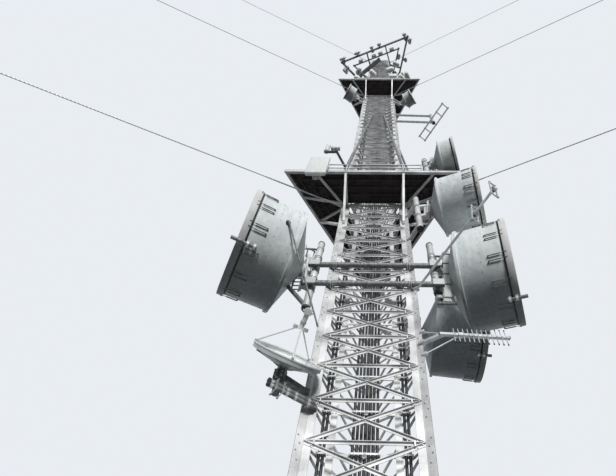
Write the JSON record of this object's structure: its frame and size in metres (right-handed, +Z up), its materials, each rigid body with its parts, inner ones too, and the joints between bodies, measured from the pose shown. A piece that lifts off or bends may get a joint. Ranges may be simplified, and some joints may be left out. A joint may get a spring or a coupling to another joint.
{
  "type": "1:2 scale model of a guyed lattice cell tower",
  "caption": "Guyed triangular lattice mast with platforms, drum antennas, small antennas and taut guys to ground anchors, as a half size model.",
  "frame": {"origin": "middle of the base block's underside, on the mast's axis, at ground level", "axes": "+Z up along the mast, -Y out of the front face, +X to the right seen from the front"},
  "size_m": [24.3754, 21.1098, 19.77],
  "materials": {
    "concrete": "cast concrete, weathered",
    "galvanised_steel": "hot-dip galvanised, matt",
    "dark_tube": "galvanised, weathered dark",
    "guy_strand": "galvanised strand",
    "floor_plate": "weathered steel floor plate",
    "drum_shell": "pale paint over aluminium",
    "white_plastic": "white weatherproof plastic",
    "black_cable": "black cable jacket",
    "aluminium": "dull aluminium"
  },
  "bodies": {
    "root": {"base_block": "concrete", "base_plate": "galvanised_steel", "leg_front_left": "galvanised_steel", "leg_front_right": "galvanised_steel", "leg_rear": "galvanised_steel", "bracing_front_lower": "galvanised_steel", "bracing_right_lower": "galvanised_steel", "bracing_left_lower": "galvanised_steel", "bracing_front_upper": "galvanised_steel", "bracing_right_upper": "galvanised_steel", "bracing_left_upper": "galvanised_steel", "lower_platform_frame": "galvanised_steel", "lower_platform_floor": "floor_plate", "lower_platform_rails": "galvanised_steel", "upper_platform_frame": "galvanised_steel", "upper_platform_floor": "floor_plate", "upper_platform_rails": "galvanised_steel", "guys_low": "guy_strand", "guys_middle": "guy_strand", "guys_top": "guy_strand", "anchor_blocks": "concrete", "anchor_plates": "galvanised_steel", "drum_tubes": "dark_tube", "drum_left": "drum_shell", "drum_left_mount": "galvanised_steel", "drum_right": "drum_shell", "drum_right_mount": "galvanised_steel", "drum_below_platform": "drum_shell", "drum_below_platform_mount": "galvanised_steel", "drum_rear": "drum_shell", "drum_rear_mount": "galvanised_steel", "drum_small": "drum_shell", "drum_small_mount": "galvanised_steel", "high_drums": "drum_shell", "high_drum_mounts": "galvanised_steel", "small_dish": "drum_shell", "small_dish_feed": "white_plastic", "small_dish_mount": "dark_tube", "twin_tube_arm": "dark_tube", "rod_antenna": "aluminium", "loop_antenna": "aluminium", "panel_antenna": "white_plastic", "panel_antenna_mount": "galvanised_steel", "side_radomes": "white_plastic", "side_radome_arm": "dark_tube", "side_frame": "aluminium", "platform_struts": "dark_tube", "mast_antennas": "white_plastic", "mast_antenna_arms": "galvanised_steel", "cross_boom": "dark_tube", "head_frame": "dark_tube", "head_panels": "white_plastic", "head_units": "white_plastic", "cable_ladder": "galvanised_steel", "feeder_cables": "black_cable"}
  },
  "joints": []
}
